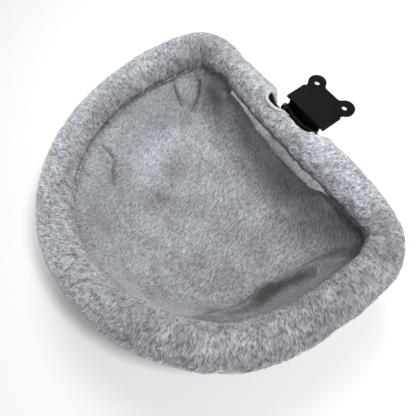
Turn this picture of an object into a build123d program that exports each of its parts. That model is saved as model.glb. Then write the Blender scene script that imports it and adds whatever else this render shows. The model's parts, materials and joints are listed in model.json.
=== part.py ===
from build123d import *
import math
import os

os.makedirs("parts", exist_ok=True)

# A plush cat hammock on a steel ring, hinged to a clamp that grips a desk edge.
# Origin: desk top at the desk's edge. +Y runs onto the desk, +Z is up, the bed hangs towards -Y.
# All lengths are millimetres and all angles are degrees.

# Clearances
seat_gap = 0.3
running_gap = 0.05
overrun = 5.0

# Ring, seen from above, along the centreline of its padded rim
ring_half_width = 220.0
ring_depth = 355.0
ring_corner_radius = 43.0
ring_nose_share = 0.92
nose_half_angle = 45.0
ring_reach = 22.6
ring_drop = 19.5

# Steel tube frame
tube_radius = 8.0
tube_wall = 1.5
rear_bar_setback = 21.5
plug_length = 36.0
frame_screw_radius = 2.0
frame_screw_length = 5.5
frame_screw_setback = 9.0

# Rim padding and plush cover
rim_radius = 27.0
foam_radius = 20.5
cutout_half = 48.0
cutout_offset = 6.6
cutout_slope = 36.3
cutout_limit = 12.0
foam_setback = 12.0
cuff_width = 3.0
cuff_lip = 0.8

# Bag
bag_depth = 105.0
bag_wall_thick = 4.0
bag_floor_thick = 5.0
bag_floor_inset = 72.0
bag_floor_corner_share = 0.33
bag_bands = 7
floor_edge_round = 2.0
hem_length = 220.0
hem_height = 20.0
hem_thick = 2.5
hem_drop = 3.0

# Clamp sheet: top plate with two round ears, web and lower jaw
sheet_thick = 3.0
bend_radius = 3.0
pad_thick = 1.5
pad_margin = 3.0
plate_width = 75.6
plate_side = 34.0
plate_neck_step = 2.3
plate_length = 53.5
plate_crown = 1.5
plate_corner_round = 1.5
ear_hole_spacing = 56.2
ear_hole_setback = 50.7
ear_hole_radius = 4.0
ear_radius = 13.5
ear_splay = 1.0
ear_blend = 7.0
web_width = 61.0
web_drop = 30.0
tail_width = 18.0
jaw_throat = 60.0
jaw_width = 24.0
screw_setback = 20.0

# Hinge between clamp and frame
hinge_setback = 9.0
hinge_drop = 11.0
knuckle_radius = 6.0
hinge_ear_thick = 2.5
hinge_bolt_radius = 3.0
hinge_head_radius = 5.5
hinge_head_height = 3.6
hinge_socket_radius = 2.2
hinge_socket_depth = 2.2
washer_thick = 1.0
washer_radius = 6.2

# Yoke that carries the frame's rear bar
cheek_thick = 2.5
saddle_radius = 12.0
slot_gap = 0.8
yoke_wall_thick = 2.5
yoke_wall_height = 8.0
yoke_wall_bow = 5.9
yoke_wall_end = 7.5
heel_thick = 2.5
heel_height = 9.0
heel_drop = 6.0
collar_radius = 11.0
collar_width = 9.0
collar_offset = 8.6

# Clamp screw, swivel foot and knob
desk_thick = 25.0
screw_radius = 5.0
nut_across_flats = 17.0
nut_height = 8.0
foot_radius = 12.0
foot_pad_thick = 2.5
foot_disc_thick = 3.5
boss_radius = 8.0
boss_height = 7.5
ball_radius = 4.2
ball_drop = 6.5
ball_gap = 0.1
neck_radius = 2.9
neck_gap = 0.8
neck_length = 3.0
screw_up_travel = 17.0
knob_radius = 18.0
knob_height = 18.0
knob_lobes = 7
knob_scallop_radius = 6.0
knob_edge_round = 1.5
knob_pin_radius = 1.5
knob_floor = 3.0

# Places that follow from the sizes above
ring_nose_radius = ring_nose_share * ring_half_width
ring_place = Pos(0, -ring_reach, -ring_drop)
plate_bottom = pad_thick
plate_top = plate_bottom + sheet_thick
plate_front = -sheet_thick
web_bottom = plate_bottom - web_drop
hinge_y = -hinge_setback
hinge_z = -hinge_drop
ear_outer = web_width / 2
ear_inner = ear_outer - hinge_ear_thick
cheek_outer = ear_inner - seat_gap
cheek_inner = cheek_outer - cheek_thick
collar_inner = cheek_outer + collar_offset
collar_outer = collar_inner + collar_width
seam_inset = rim_radius + seat_gap
seam_corner = ring_corner_radius - seam_inset
bag_floor_corner = bag_floor_corner_share * (ring_depth - 2 * bag_floor_inset)
plate_neck_half = plate_width / 2 - plate_neck_step
pad_top = -desk_thick
disc_top = pad_top - foot_pad_thick
boss_top = disc_top - foot_disc_thick
boss_bottom = boss_top - boss_height
ball_z = disc_top - ball_drop
jaw_top = -jaw_throat
jaw_bottom = jaw_top - sheet_thick
nut_bottom = jaw_bottom - nut_height
knob_top = nut_bottom - screw_up_travel - seat_gap - washer_thick
knob_bottom = knob_top - knob_height
screw_bottom = knob_bottom + knob_floor


def on_arc(x, y, radius, angle):
    return Vector(x + radius * math.cos(angle), y + radius * math.sin(angle))


def outline_points(inset, corner_radius):
    # Right-hand points of the ring's plan, drawn in from the centreline by the inset
    turn = math.radians(nose_half_angle)
    half_width = ring_half_width - inset
    nose_radius = ring_nose_radius - inset
    nose_y = ring_nose_radius - ring_depth
    side_radius = (half_width - nose_radius * math.sin(turn)) / (1 - math.sin(turn))
    side_x = half_width - side_radius
    side_y = nose_y + (side_radius - nose_radius) * math.cos(turn)
    side_start = turn - math.pi / 2
    corner_y = -inset - corner_radius
    reach = side_radius - corner_radius
    corner_x = side_x + math.sqrt(reach**2 - (corner_y - side_y) ** 2)
    corner_turn = math.atan2(corner_y - side_y, corner_x - side_x)
    corner_middle = (corner_turn + math.pi / 2) / 2
    side_middle = (corner_turn + side_start) / 2
    return {
        "back": Vector(corner_x, -inset),
        "corner_middle": on_arc(corner_x, corner_y, corner_radius, corner_middle),
        "corner_end": on_arc(corner_x, corner_y, corner_radius, corner_turn),
        "side_middle": on_arc(side_x, side_y, side_radius, side_middle),
        "side_end": on_arc(side_x, side_y, side_radius, side_start),
        "nose_quarter": on_arc(0, nose_y, nose_radius, (side_start - math.pi / 2) / 2),
        "nose": Vector(0, nose_y - nose_radius),
    }


def flipped(point, side=-1):
    return Vector(side * point.X, point.Y)


def rear_bar_half():
    # The straight bar stops short of the ring's corners
    return outline_points(0, ring_corner_radius)["back"].X - rear_bar_setback


def outline_wire(inset, corner_radius):
    right = outline_points(inset, corner_radius)
    left = {name: flipped(point) for name, point in right.items()}
    return Wire(
        [
            Line(left["back"], right["back"]).edge(),
            ThreePointArc(right["back"], right["corner_middle"], right["corner_end"]).edge(),
            ThreePointArc(right["corner_end"], right["side_middle"], right["side_end"]).edge(),
            ThreePointArc(right["side_end"], right["nose"], left["side_end"]).edge(),
            ThreePointArc(left["side_end"], left["side_middle"], left["corner_end"]).edge(),
            ThreePointArc(left["corner_end"], left["corner_middle"], left["back"]).edge(),
        ]
    )


def rod_along(path, start, direction, radius):
    section = Plane(origin=start, z_dir=direction) * Circle(radius)
    return sweep(section, path=path)


def closed_ring(outer_radius, inner_radius):
    # A tube all the way round the ring's centreline
    path = outline_wire(0, ring_corner_radius)
    start = flipped(outline_points(0, ring_corner_radius)["back"])
    outer = rod_along(path, start, (1, 0, 0), outer_radius)
    return outer - rod_along(path, start, (1, 0, 0), inner_radius)


def bore_x(x_low, x_high, y, z, radius):
    # A round bar along X between two planes
    middle = Pos((x_low + x_high) / 2, y, z)
    return middle * Rot(0, 90, 0) * Cylinder(radius, x_high - x_low)


def block(x_low, x_high, y_low, y_high, z_low, z_high):
    size = Box(x_high - x_low, y_high - y_low, z_high - z_low)
    return Pos((x_low + x_high) / 2, (y_low + y_high) / 2, (z_low + z_high) / 2) * size


def side_view(points):
    # A closed outline in the YZ plane, from (y, z) pairs
    return Plane.YZ * make_face(Polyline([Vector(y, z) for y, z in points], close=True))


# Steel tube frame


def frame_screw_places():
    nose = outline_points(0, ring_corner_radius)["nose"]
    nose_y = ring_nose_radius - ring_depth
    swing = frame_screw_setback / ring_nose_radius
    places = []
    for side in (-1, 1):
        for step in (-1, 1):
            places.append(Vector(side * rear_bar_half() + step * frame_screw_setback, 0))
        turned = on_arc(0, nose_y, nose_y - nose.Y, side * swing - math.pi / 2)
        places.append(turned)
    return places


def frame_screw_shape(radius):
    upright = Pos(0, 0, frame_screw_length / 2 - tube_radius) * Cylinder(radius, frame_screw_length)
    return [Pos(place.X, place.Y, 0) * upright for place in frame_screw_places()]


def drilled(shape):
    for hole in frame_screw_shape(frame_screw_radius + running_gap):
        shape = shape - hole
    return shape


def frame_rear_bar():
    half = rear_bar_half()
    outer = bore_x(-half, half, 0, 0, tube_radius)
    inner = bore_x(-half - overrun, half + overrun, 0, 0, tube_radius - tube_wall)
    return ring_place * drilled(outer - inner)


def frame_hoop(side):
    right = outline_points(0, ring_corner_radius)
    point = {name: flipped(place, side) for name, place in right.items()}
    start = Vector(side * (rear_bar_half() + seat_gap), 0)
    path = Wire(
        [
            Line(start, point["back"]).edge(),
            ThreePointArc(point["back"], point["corner_middle"], point["corner_end"]).edge(),
            ThreePointArc(point["corner_end"], point["side_middle"], point["side_end"]).edge(),
            ThreePointArc(point["side_end"], point["nose_quarter"], point["nose"]).edge(),
        ]
    )
    outer = rod_along(path, start, (side, 0, 0), tube_radius)
    inner = rod_along(path, start, (side, 0, 0), tube_radius - tube_wall)
    far, near = -ring_depth - rim_radius, -ring_depth + rim_radius
    middle = block(-seat_gap / 2, seat_gap / 2, far, near, -rim_radius, rim_radius)
    return ring_place * drilled(outer - inner - middle)


def frame_plugs():
    plug_radius = tube_radius - tube_wall - running_gap
    nose_y = ring_nose_radius - ring_depth
    swing = plug_length / 2 / ring_nose_radius
    solids = []
    for side in (-1, 1):
        low = side * rear_bar_half() - plug_length / 2
        solids.append(drilled(bore_x(low, low + plug_length, 0, 0, plug_radius)))
    ends = [on_arc(0, nose_y, ring_nose_radius, turn - math.pi / 2) for turn in (-swing, 0, swing)]
    path = Wire([ThreePointArc(*ends).edge()])
    direction = (math.cos(swing), -math.sin(swing), 0)
    solids.append(drilled(rod_along(path, ends[0], direction, plug_radius)))
    return Compound(children=[ring_place * single(shape) for shape in solids])


def frame_screws():
    screws = frame_screw_shape(frame_screw_radius)
    return Compound(children=[ring_place * single(screw) for screw in screws])


# Rim padding, plush cover and its bound cut-out


def cutout_block(half, offset, limit):
    # Space cleared on the desk side of the rim: an oblique slice and an upright one
    reach = rim_radius + overrun
    slice_block = block(-half, half, offset, offset + reach * 2, -reach * 2, reach * 2)
    oblique = Rot(cutout_slope, 0, 0) * slice_block
    return oblique + block(-half, half, limit, limit + reach, -reach, reach)


def cheek_slots():
    # Slits in padding and cover that the yoke's cheeks pass through
    slots = []
    for side in (-1, 1):
        middle = side * (cheek_outer + cheek_inner) / 2
        slots.append(cheek_plate(middle, cheek_thick + 2 * slot_gap, slot_gap))
    return slots


def rim_foam():
    foam = closed_ring(foam_radius, tube_radius + seat_gap)
    foam = foam - cutout_block(cutout_half + foam_setback, cutout_offset - seat_gap, cutout_limit - seat_gap)
    for slot in cheek_slots():
        foam = foam - ring_place.inverse() * slot
    for side in (-1, 1):
        low, high = sorted((side * (collar_inner - slot_gap), side * (collar_outer + slot_gap)))
        foam = foam - bore_x(low, high, 0, 0, collar_radius + slot_gap)
    return ring_place * foam


def back_wedge():
    # Space over the straight side, bounded by upright planes through the ring's two back corners
    corner = outline_points(0, ring_corner_radius)["corner_middle"]
    middle = Vector(0, -ring_depth / 2)
    reach = (rim_radius + overrun - middle.Y) / (corner.Y - middle.Y)
    far = middle + (corner - middle) * reach
    wedge = make_face(Polyline([middle, far, flipped(far)], close=True))
    return extrude(wedge, ring_half_width, both=True)


def rim_cover(back):
    # Two lengths of plush tube, seamed at the ring's two back corners
    cover = closed_ring(rim_radius, foam_radius + seat_gap)
    if back:
        cover = cover & back_wedge()
        cover = cover - cutout_block(cutout_half, cutout_offset, cutout_limit)
        for slot in cheek_slots():
            cover = cover - ring_place.inverse() * slot
    else:
        cover = cover - back_wedge()
    return ring_place * single(cover)


def cutout_cuff(side):
    # A bound edge on the open end of the cover, on the desk side only
    near = side * (cutout_half - cuff_width)
    far = side * cutout_half
    low, high = min(near, far), max(near, far)
    band = bore_x(low, high, 0, 0, rim_radius - cuff_lip)
    band = band - bore_x(low - overrun, high + overrun, 0, 0, foam_radius + seat_gap + cuff_lip)
    return ring_place * (band & cutout_block(cutout_half, cutout_offset, cutout_limit))


# Bag


def bag_inset(lean):
    # How far the bag's side stands in from the ring's centreline, by its slope from upright
    return seam_inset + (1 - math.cos(lean)) * (bag_floor_inset - seam_inset)


def bag_body(extra):
    # The bag's form as one solid, drawn in by an extra amount for its inner face.
    # Its side follows a quarter of an ellipse from the seam down to the floor.
    sections = []
    for band in range(bag_bands + 1):
        lean = math.radians(90 * band / bag_bands)
        corner = seam_corner + math.sin(lean) * (bag_floor_corner - seam_corner)
        wire = outline_wire(bag_inset(lean) + extra, corner - extra)
        sections.append(Pos(0, 0, -math.sin(lean) * bag_depth) * Face(wire))
    return loft(sections, ruled=True)


def bag_wall(back):
    # The bag's side is a back panel and a long curved one, seamed at the back corners
    wall = bag_body(0) - bag_body(bag_wall_thick)
    wall = wall & back_wedge() if back else wall - back_wedge()
    return ring_place * single(wall)


def bag_floor():
    top = -bag_depth
    panel = extrude(Face(outline_wire(bag_floor_inset, bag_floor_corner)), bag_floor_thick, dir=(0, 0, -1))
    lower = panel.edges().group_by(Axis.Z)[0]
    return ring_place * Pos(0, 0, top) * fillet(lower, floor_edge_round)


def hem_flap():
    # A narrow flap of lining that hangs inside the straight side
    lean = math.asin((hem_drop + hem_height) / bag_depth)
    outer_y = -bag_inset(lean) - bag_wall_thick - seat_gap
    half = hem_length / 2
    flap = block(-half, half, outer_y - hem_thick, outer_y, -hem_drop - hem_height, -hem_drop)
    return ring_place * fillet(flap.edges().filter_by(Axis.Y), hem_drop)


# Clamp bracket and what is fixed to it


def top_plate():
    half = plate_width / 2
    neck = plate_neck_half
    ear_x = ear_hole_spacing / 2 + ear_splay
    ear_y = ear_hole_setback + ear_splay
    sides = [(-half, 0), (half, 0), (half, plate_side), (-half, plate_side)]
    body = make_face(Polyline(sides, close=True))
    crown_side = plate_length - plate_crown
    crown = [
        Polyline([(-neck, crown_side), (-neck, 0), (neck, 0), (neck, crown_side)]).edges(),
        ThreePointArc((neck, crown_side), (0, plate_length), (-neck, crown_side)).edges(),
    ]
    face = body + make_face([edge for group in crown for edge in group])
    for side in (-1, 1):
        face = face + Pos(side * ear_x, ear_y) * Circle(ear_radius)
    waist = [v for v in face.vertices() if v.Y > plate_side + plate_crown and abs(v.X) < ear_x + ear_radius]
    face = fillet(waist, ear_blend)
    outer = [v for v in face.vertices() if abs(v.X) > neck + plate_crown]
    corners = [v for v in outer if abs(v.Y - plate_side) < plate_crown]
    face = fillet(corners, plate_corner_round)
    for side in (-1, 1):
        face = face - Pos(side * ear_hole_spacing / 2, ear_hole_setback) * Circle(ear_hole_radius)
    return Pos(0, plate_front, plate_bottom) * extrude(face, sheet_thick)


def clamp_bracket():
    plate = top_plate()
    half = web_width / 2
    strip = jaw_width / 2
    waist = tail_width / 2
    tip = screw_setback
    web = block(-half, half, plate_front, 0, web_bottom, plate_top)
    tail = block(-waist, waist, plate_front, 0, jaw_bottom, web_bottom)
    jaw = block(-waist, waist, plate_front, tip, jaw_bottom, jaw_top)
    jaw = jaw + Pos(0, tip, (jaw_bottom + jaw_top) / 2) * Cylinder(strip, sheet_thick)
    body = plate + web + tail + jaw
    along = body.edges().filter_by(Axis.X)
    front = [e for e in along if abs(e.center().Y - plate_front) < seat_gap]
    body = fillet([e for e in front if abs(e.center().Z - jaw_bottom) < seat_gap], bend_radius + sheet_thick)
    along = body.edges().filter_by(Axis.X)
    back = [e for e in along if abs(e.center().Y) < seat_gap]
    body = fillet([e for e in back if abs(e.center().Z - jaw_top) < seat_gap], bend_radius)
    level = [e for e in body.edges().filter_by(Axis.Y) if abs(e.center().Z - web_bottom) < seat_gap]
    body = fillet([e for e in level if e.length < sheet_thick + seat_gap], bend_radius)
    hole = Cylinder(screw_radius + seat_gap, sheet_thick + 2 * overrun)
    return body - Pos(0, screw_setback, (jaw_bottom + jaw_top) / 2) * hole


def top_pad():
    half = plate_neck_half - pad_margin
    back = plate_side - pad_margin
    pad = block(-half, half, 0, back, 0, pad_thick)
    return fillet(pad.edges().filter_by(Axis.Z), pad_margin)


def weld_nut():
    nut = extrude(RegularPolygon(nut_across_flats / 2, 6, major_radius=False), nut_height)
    bore = Pos(0, 0, nut_height / 2) * Cylinder(screw_radius + running_gap, nut_height + 2 * overrun)
    return Pos(0, screw_setback, nut_bottom) * (nut - bore)


def hinge_ear(side):
    # A rounded tab that stands forward from the web's side edge
    low, high = sorted((side * ear_inner, side * ear_outer))
    tab = block(low, high, hinge_y, plate_front, hinge_z - knuckle_radius, hinge_z + knuckle_radius)
    tab = tab + bore_x(low, high, hinge_y, hinge_z, knuckle_radius)
    return tab - bore_x(low - overrun, high + overrun, hinge_y, hinge_z, hinge_bolt_radius + running_gap)


def hinge_bolt(side):
    # A button-head pivot bolt: its plain end turns in the yoke's cheek and ends flush inside it
    seat = ear_outer + washer_thick
    head_end = seat + hinge_head_height
    low, high = sorted((side * (cheek_inner + seat_gap), side * seat))
    shank = bore_x(low, high, hinge_y, hinge_z, hinge_bolt_radius)
    low, high = sorted((side * seat, side * head_end))
    head = bore_x(low, high, hinge_y, hinge_z, hinge_head_radius)
    rim = head.edges().filter_by(GeomType.CIRCLE).sort_by(Axis.X)[-1 if side > 0 else 0]
    head = fillet([rim], hinge_head_height / 2)
    hexagon = extrude(RegularPolygon(hinge_socket_radius, 6), hinge_socket_depth * 2, both=True)
    socket = Pos(side * head_end, hinge_y, hinge_z) * Rot(0, 90, 0) * hexagon
    reach = head_end + overrun
    floor = head_end - hinge_socket_depth
    outside = block(-reach, reach, *hinge_span(), *hinge_rise())
    outside = outside - block(-floor, floor, *hinge_span(), *hinge_rise())
    return shank + head - (socket & outside)


def hinge_span():
    return hinge_y - knuckle_radius, hinge_y + knuckle_radius


def hinge_rise():
    return hinge_z - knuckle_radius, hinge_z + knuckle_radius


def hinge_bolts():
    return Compound(children=[single(hinge_bolt(side)) for side in (-1, 1)])


def hinge_washers():
    rings = []
    for side in (-1, 1):
        low, high = sorted((side * ear_outer, side * (ear_outer + washer_thick)))
        ring = bore_x(low, high, hinge_y, hinge_z, washer_radius)
        ring = ring - bore_x(low - overrun, high + overrun, hinge_y, hinge_z, hinge_bolt_radius + running_gap)
        rings.append(single(ring))
    return Compound(children=rings)


# Yoke that swings on the hinge and holds the rear bar


def cheek_plate(middle, thick, grow):
    # One side plate: knuckle, saddle round the rear bar and heel, in one hull
    heel_y = plate_front - seat_gap
    heel_z = hinge_z - heel_drop
    reach = (heel_y + grow, heel_y - heel_thick)
    rise = (heel_z - heel_height - grow, heel_z)
    corners = [(reach[0], rise[0]), (reach[0], rise[1]), (reach[1], rise[1]), (reach[1], rise[0])]
    edges = list(Polyline(corners, close=True).edges())
    edges += (Pos(hinge_y, hinge_z) * Circle(knuckle_radius + grow)).edges()
    edges += (Pos(-ring_reach, -ring_drop) * Circle(saddle_radius + grow)).edges()
    plate = extrude(Plane.YZ * make_hull(edges), thick)
    return Pos(middle - thick / 2, 0, 0) * plate


def hinge_yoke():
    yoke = cheek_plate(-(cheek_outer + cheek_inner) / 2, cheek_thick, 0)
    yoke = yoke + cheek_plate((cheek_outer + cheek_inner) / 2, cheek_thick, 0)
    end_y = -yoke_wall_end
    bow_y = end_y - yoke_wall_bow
    back_end = end_y + yoke_wall_thick
    front = ThreePointArc((-cheek_outer, end_y), (0, bow_y), (cheek_outer, end_y))
    back = ThreePointArc((cheek_outer, back_end), (0, bow_y + yoke_wall_thick), (-cheek_outer, back_end))
    right = Line((cheek_outer, end_y), (cheek_outer, back_end))
    left = Line((-cheek_outer, back_end), (-cheek_outer, end_y))
    plan = make_face([front.edge(), right.edge(), back.edge(), left.edge()])
    wall = Pos(0, 0, hinge_z - yoke_wall_height / 2) * extrude(plan, yoke_wall_height)
    yoke = yoke + wall
    for side in (-1, 1):
        low, high = sorted((side * cheek_inner, side * (cheek_outer + overrun)))
        yoke = yoke - bore_x(low, high, hinge_y, hinge_z, hinge_bolt_radius + running_gap)
        yoke = yoke - bore_x(low, high, -ring_reach, -ring_drop, tube_radius + running_gap)
    return yoke


def tube_collars():
    # Collars beside the cheeks that keep the yoke in place along the rear bar
    collars = []
    for side in (-1, 1):
        low, high = sorted((side * collar_inner, side * collar_outer))
        collar = bore_x(low, high, -ring_reach, -ring_drop, collar_radius)
        bore = bore_x(low - overrun, high + overrun, -ring_reach, -ring_drop, tube_radius + running_gap)
        collars.append(single(collar - bore))
    return Compound(children=collars)


def stop_heel():
    # Cross bar between the cheeks that lands on the web and holds the bed level
    high_y = plate_front
    top = hinge_z - heel_drop
    return block(-cheek_inner, cheek_inner, high_y - heel_thick, high_y, top - heel_height, top)


# Screw, swivel foot and knob


def foot_disc():
    disc = Pos(0, 0, disc_top - foot_disc_thick / 2) * Cylinder(foot_radius, foot_disc_thick)
    boss = Pos(0, 0, boss_top - boss_height / 2) * Cylinder(boss_radius, boss_height)
    cavity = Pos(0, 0, ball_z) * Sphere(ball_radius + ball_gap)
    throat = Pos(0, 0, boss_bottom) * Cylinder(neck_radius + neck_gap, boss_height)
    return Pos(0, screw_setback, 0) * (disc + boss - cavity - throat)


def foot_pad():
    pad = Cylinder(foot_radius, foot_pad_thick)
    pad = fillet(pad.edges().sort_by(Axis.Z)[-1:], foot_pad_thick / 4)
    return Pos(0, screw_setback, pad_top - foot_pad_thick / 2) * pad


def clamp_screw():
    shoulder = boss_bottom - neck_length
    ball = Pos(0, 0, ball_z) * Sphere(ball_radius)
    neck = Pos(0, 0, (ball_z + shoulder) / 2) * Cylinder(neck_radius, ball_z - shoulder)
    rod = Pos(0, 0, (shoulder + screw_bottom) / 2) * Cylinder(screw_radius, shoulder - screw_bottom)
    return Pos(0, screw_setback, 0) * (ball + neck + rod - knob_pin_bore())


def knob_pin_bore():
    middle = Pos(0, 0, (knob_top + knob_bottom) / 2) * Rot(90, 0, 0)
    return middle * Cylinder(knob_pin_radius + running_gap, 2 * knob_radius + overrun)


def screw_knob():
    knob = Cylinder(knob_radius, knob_height)
    for lobe in range(knob_lobes):
        turn = Rot(0, 0, 360 * (lobe + 1 / 2) / knob_lobes)
        scallop = Cylinder(knob_scallop_radius, knob_height + overrun)
        knob = knob - turn * Pos(knob_radius + knob_scallop_radius / 2, 0, 0) * scallop
    ends = knob.faces().sort_by(Axis.Z)
    knob = fillet(ends[0].outer_wire().edges() + ends[-1].outer_wire().edges(), knob_edge_round)
    knob = Pos(0, 0, (knob_top + knob_bottom) / 2) * knob
    bore = Cylinder(screw_radius + running_gap, knob_top - screw_bottom)
    knob = knob - Pos(0, 0, (knob_top + screw_bottom) / 2) * bore
    return Pos(0, screw_setback, 0) * (knob - knob_pin_bore())


def knob_pin():
    middle = (knob_top + knob_bottom) / 2
    length = 2 * (knob_radius - knob_scallop_radius)
    return Pos(0, screw_setback, middle) * Rot(90, 0, 0) * Cylinder(knob_pin_radius, length)


def single(shape):
    # The one solid that a piece is made of
    return shape.solids()[0]


nodes = {
    "clamp_bracket": clamp_bracket,
    "top_pad": top_pad,
    "weld_nut": weld_nut,
    "hinge_ear_left": lambda: hinge_ear(-1),
    "hinge_ear_right": lambda: hinge_ear(1),
    "hinge_bolts": hinge_bolts,
    "hinge_washers": hinge_washers,
    "foot_disc": foot_disc,
    "foot_pad": foot_pad,
    "clamp_screw": clamp_screw,
    "screw_knob": screw_knob,
    "knob_pin": knob_pin,
    "hinge_yoke": hinge_yoke,
    "stop_heel": stop_heel,
    "tube_collars": tube_collars,
    "frame_rear_bar": frame_rear_bar,
    "frame_left_hoop": lambda: frame_hoop(-1),
    "frame_right_hoop": lambda: frame_hoop(1),
    "frame_plugs": frame_plugs,
    "frame_screws": frame_screws,
    "rim_foam": rim_foam,
    "rim_cover_back": lambda: rim_cover(True),
    "rim_cover_front": lambda: rim_cover(False),
    "cuff_left": lambda: cutout_cuff(-1),
    "cuff_right": lambda: cutout_cuff(1),
    "bag_back_panel": lambda: bag_wall(True),
    "bag_side_panel": lambda: bag_wall(False),
    "bag_floor": bag_floor,
    "hem_flap": hem_flap,
}

for node, make in nodes.items():
    export_step(make(), f"parts/{node}.step")
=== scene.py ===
import json
import math

import bpy
import numpy as np
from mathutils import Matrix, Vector, noise

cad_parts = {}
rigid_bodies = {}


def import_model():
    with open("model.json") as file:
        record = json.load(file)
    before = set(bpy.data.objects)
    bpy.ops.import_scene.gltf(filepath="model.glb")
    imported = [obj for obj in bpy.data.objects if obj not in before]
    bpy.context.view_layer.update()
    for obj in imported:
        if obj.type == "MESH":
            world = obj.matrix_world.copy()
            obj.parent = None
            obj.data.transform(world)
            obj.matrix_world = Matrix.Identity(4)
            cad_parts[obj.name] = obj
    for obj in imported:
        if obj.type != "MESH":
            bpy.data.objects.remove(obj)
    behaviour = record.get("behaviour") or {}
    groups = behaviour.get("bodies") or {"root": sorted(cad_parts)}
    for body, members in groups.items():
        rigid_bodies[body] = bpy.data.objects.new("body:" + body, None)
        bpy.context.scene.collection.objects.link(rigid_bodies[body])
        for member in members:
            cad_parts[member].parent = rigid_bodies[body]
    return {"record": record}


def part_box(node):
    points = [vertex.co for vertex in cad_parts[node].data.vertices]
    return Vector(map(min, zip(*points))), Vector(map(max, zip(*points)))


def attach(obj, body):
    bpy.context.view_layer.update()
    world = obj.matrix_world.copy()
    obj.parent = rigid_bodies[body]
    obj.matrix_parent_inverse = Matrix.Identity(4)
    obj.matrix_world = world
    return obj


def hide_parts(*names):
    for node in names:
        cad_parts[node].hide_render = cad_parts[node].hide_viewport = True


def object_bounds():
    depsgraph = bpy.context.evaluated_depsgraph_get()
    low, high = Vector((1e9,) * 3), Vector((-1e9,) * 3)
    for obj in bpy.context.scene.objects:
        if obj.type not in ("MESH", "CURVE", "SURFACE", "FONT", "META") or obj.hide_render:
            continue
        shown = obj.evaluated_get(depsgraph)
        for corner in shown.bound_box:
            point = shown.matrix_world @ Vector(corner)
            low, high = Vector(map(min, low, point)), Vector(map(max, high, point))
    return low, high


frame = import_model()
cadBox = [list(corner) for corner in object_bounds()]
print("frame loaded")

# Camera, light and floor. Here and below, lengths are in metres and angles in degrees
view = {
    "azimuth": 53.5, "elevation": 68.2, "distance": 0.4524, "target": (0.028, -0.1941, -0.0195),
    "lens": 29.42, "sensor": 36, "nearest": 0.01,
}
light = {
    "sky": 0.30, "skyColor": (0.96, 0.98, 1.0),
    "floorSize": 12, "floorDrop": 0.004, "floorColor": (0.90, 0.90, 0.90), "floorGlow": 0.10,
    "keyPlace": (0.461, 0.071, 1.177), "keyPower": 11.0, "keySize": 0.20,
    "fillPlace": (-0.520, 0.212, 1.010), "fillPower": 7.0, "fillSize": 0.5,
}


def aim(obj, direction):
    obj.rotation_mode = "QUATERNION"
    obj.rotation_quaternion = direction.to_track_quat("-Z", "Y")


def placeCamera():
    turn, lift = math.radians(view["azimuth"]), math.radians(view["elevation"])
    back = Vector((math.sin(turn) * math.cos(lift), -math.cos(turn) * math.cos(lift), math.sin(lift)))
    bpy.ops.object.camera_add(location=Vector(view["target"]) + back * view["distance"])
    camera = bpy.context.object
    aim(camera, -back)
    camera.data.lens = view["lens"]
    camera.data.sensor_width = view["sensor"]
    camera.data.clip_start = view["nearest"]
    bpy.context.scene.camera = camera


def addLamp(name):
    place = Vector(light[name + "Place"])
    bpy.ops.object.light_add(type="AREA", location=place)
    lamp = bpy.context.object
    lamp.name = name + "Lamp"
    lamp.data.energy = light[name + "Power"]
    lamp.data.size = light[name + "Size"]
    aim(lamp, Vector(view["target"]) - place)


def addFloor():
    lowest = min(corner[2] for corner in cadBox)
    bpy.ops.mesh.primitive_plane_add(size=light["floorSize"], location=(0, 0, lowest - light["floorDrop"]))
    floor = bpy.context.object
    floor.name = "floor"
    floor.data.materials.append(floorMaterial())


def addSky():
    world = bpy.data.worlds.new("studio")
    world.use_nodes = True
    background = world.node_tree.nodes["Background"]
    background.inputs["Color"].default_value = (*light["skyColor"], 1)
    background.inputs["Strength"].default_value = light["sky"]
    bpy.context.scene.world = world
    bpy.context.scene.view_settings.view_transform = "Standard"


def startMaterial(name):
    material = bpy.data.materials.new(name)
    material.use_nodes = True
    tree = material.node_tree
    return material, tree, tree.nodes["Principled BSDF"]


def floorMaterial():
    material, _, shader = startMaterial("paleFloor")
    shader.inputs["Base Color"].default_value = (*light["floorColor"], 1)
    shader.inputs["Roughness"].default_value = 1
    shader.inputs["Emission Color"].default_value = (1, 1, 1, 1)
    shader.inputs["Emission Strength"].default_value = light["floorGlow"]
    return material


placeCamera()
addFloor()
addSky()
for lampName in ("key", "fill"):
    addLamp(lampName)


# Small helpers for meshes
def selectOnly(obj):
    bpy.ops.object.select_all(action="DESELECT")
    obj.select_set(True)
    bpy.context.view_layer.objects.active = obj


def applyModifiers(obj):
    selectOnly(obj)
    for modifier in list(obj.modifiers):
        bpy.ops.object.modifier_apply(modifier=modifier.name)


def subdivide(obj, levels):
    modifier = obj.modifiers.new("Subdivision", "SUBSURF")
    modifier.levels = modifier.render_levels = levels
    applyModifiers(obj)


def readPoints(obj):
    points = np.empty(len(obj.data.vertices) * 3)
    obj.data.vertices.foreach_get("co", points)
    return points.reshape(-1, 3)


def writePoints(obj, points):
    obj.data.vertices.foreach_set("co", np.ascontiguousarray(points, dtype=float).ravel())
    obj.data.update()


def readNormals(obj):
    normals = np.empty(len(obj.data.vertices) * 3)
    obj.data.vertex_normals.foreach_get("vector", normals)
    return normals.reshape(-1, 3)


def writeShare(obj, name, values):
    layer = obj.data.attributes.new(name, "FLOAT", "POINT")
    layer.data.foreach_set("value", np.ascontiguousarray(values, dtype=float))


def readShare(obj, name):
    values = np.empty(len(obj.data.vertices))
    obj.data.attributes[name].data.foreach_get("value", values)
    return values


def writeAngle(obj, name, angle):
    # Kept as cosine and sine, so that subdivision blends it rightly across the wrap
    writeShare(obj, name + "Cosine", np.cos(angle))
    writeShare(obj, name + "Sine", np.sin(angle))


def readAngle(obj, name):
    return np.arctan2(readShare(obj, name + "Sine"), readShare(obj, name + "Cosine"))


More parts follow.
